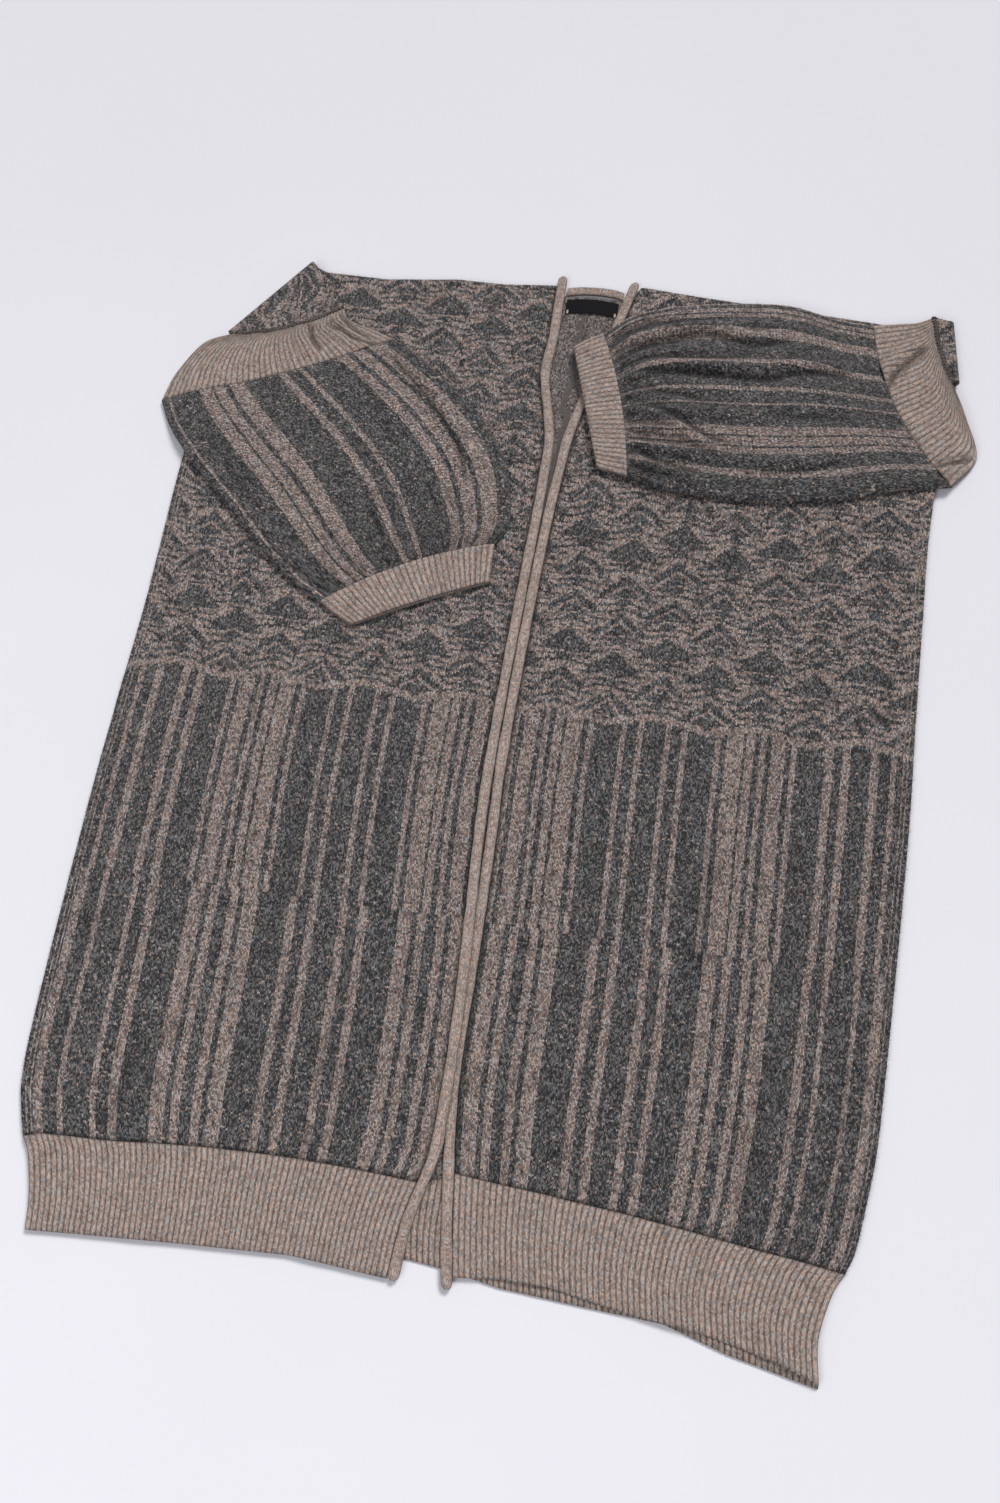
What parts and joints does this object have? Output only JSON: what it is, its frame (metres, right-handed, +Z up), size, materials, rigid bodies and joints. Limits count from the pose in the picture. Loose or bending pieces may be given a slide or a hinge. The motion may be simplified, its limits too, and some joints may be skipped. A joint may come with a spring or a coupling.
{
  "type": "kimono cardigan",
  "caption": "Open-front knitted kimono cardigan laid flat, its balloon sleeves folded over the fronts; a striped and patterned body with ribbed hem, cuffs and armhole bands.",
  "frame": {"origin": "middle of the cardigan's outline, on the surface that its back lies on", "axes": "+Y along the body towards the shoulders, +Z up out of the fronts, +X to the wearer's left"},
  "size_m": [0.7443, 0.954, 0.0182],
  "materials": {
    "patterned_knit": "brushed wool knit, charcoal melange with taupe stripes and chevrons",
    "taupe_rib": "one by one rib knit, taupe melange",
    "taupe_trim": "smooth tubular knit, taupe melange",
    "black_tape": "plain woven tape, black"
  },
  "bodies": {
    "root": {"back": "patterned_knit", "right_front": "patterned_knit", "left_front": "patterned_knit", "right_sleeve": "patterned_knit", "left_sleeve": "patterned_knit", "back_hem": "taupe_rib", "right_front_hem": "taupe_rib", "left_front_hem": "taupe_rib", "right_armhole_band": "taupe_rib", "left_armhole_band": "taupe_rib", "right_cuff": "taupe_rib", "left_cuff": "taupe_rib", "right_front_band": "taupe_trim", "left_front_band": "taupe_trim", "back_neck_band": "taupe_trim", "label": "black_tape"}
  },
  "joints": []
}
